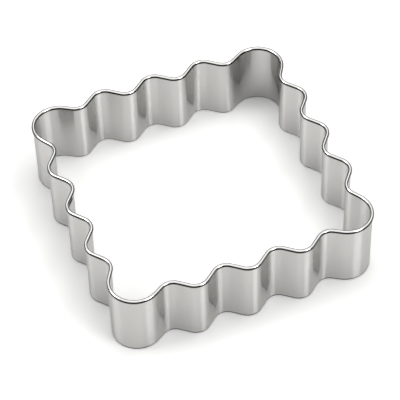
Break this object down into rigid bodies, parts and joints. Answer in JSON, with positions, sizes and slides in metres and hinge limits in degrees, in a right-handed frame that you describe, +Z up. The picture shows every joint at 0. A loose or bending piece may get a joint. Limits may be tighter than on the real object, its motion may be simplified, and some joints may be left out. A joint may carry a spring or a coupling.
{
  "type": "fluted square cookie cutter",
  "caption": "Fluted square cookie cutter in steel sheet: a scalloped wall with a large round lobe at each corner, a thin cutting edge below and a rolled rim on top.",
  "frame": {"origin": "centre of the outline in the plane of the cutting edge, which the cutter stands on", "axes": "+Z up from the cutting edge to the rolled rim; X and Y square to the sides; the seam is in the middle flute of the -X side"},
  "size_m": [0.0756, 0.0756, 0.02],
  "materials": {
    "wall_steel": "satin, rolled sheet",
    "rim_steel": "bright, burnished by rolling",
    "wire_steel": "drawn wire",
    "weld_steel": "spot welded, slightly tinted"
  },
  "bodies": {
    "root": {"fluted_band": "wall_steel", "rolled_rim": "rim_steel", "rim_wire": "wire_steel", "spot_welds": "weld_steel"}
  },
  "joints": []
}
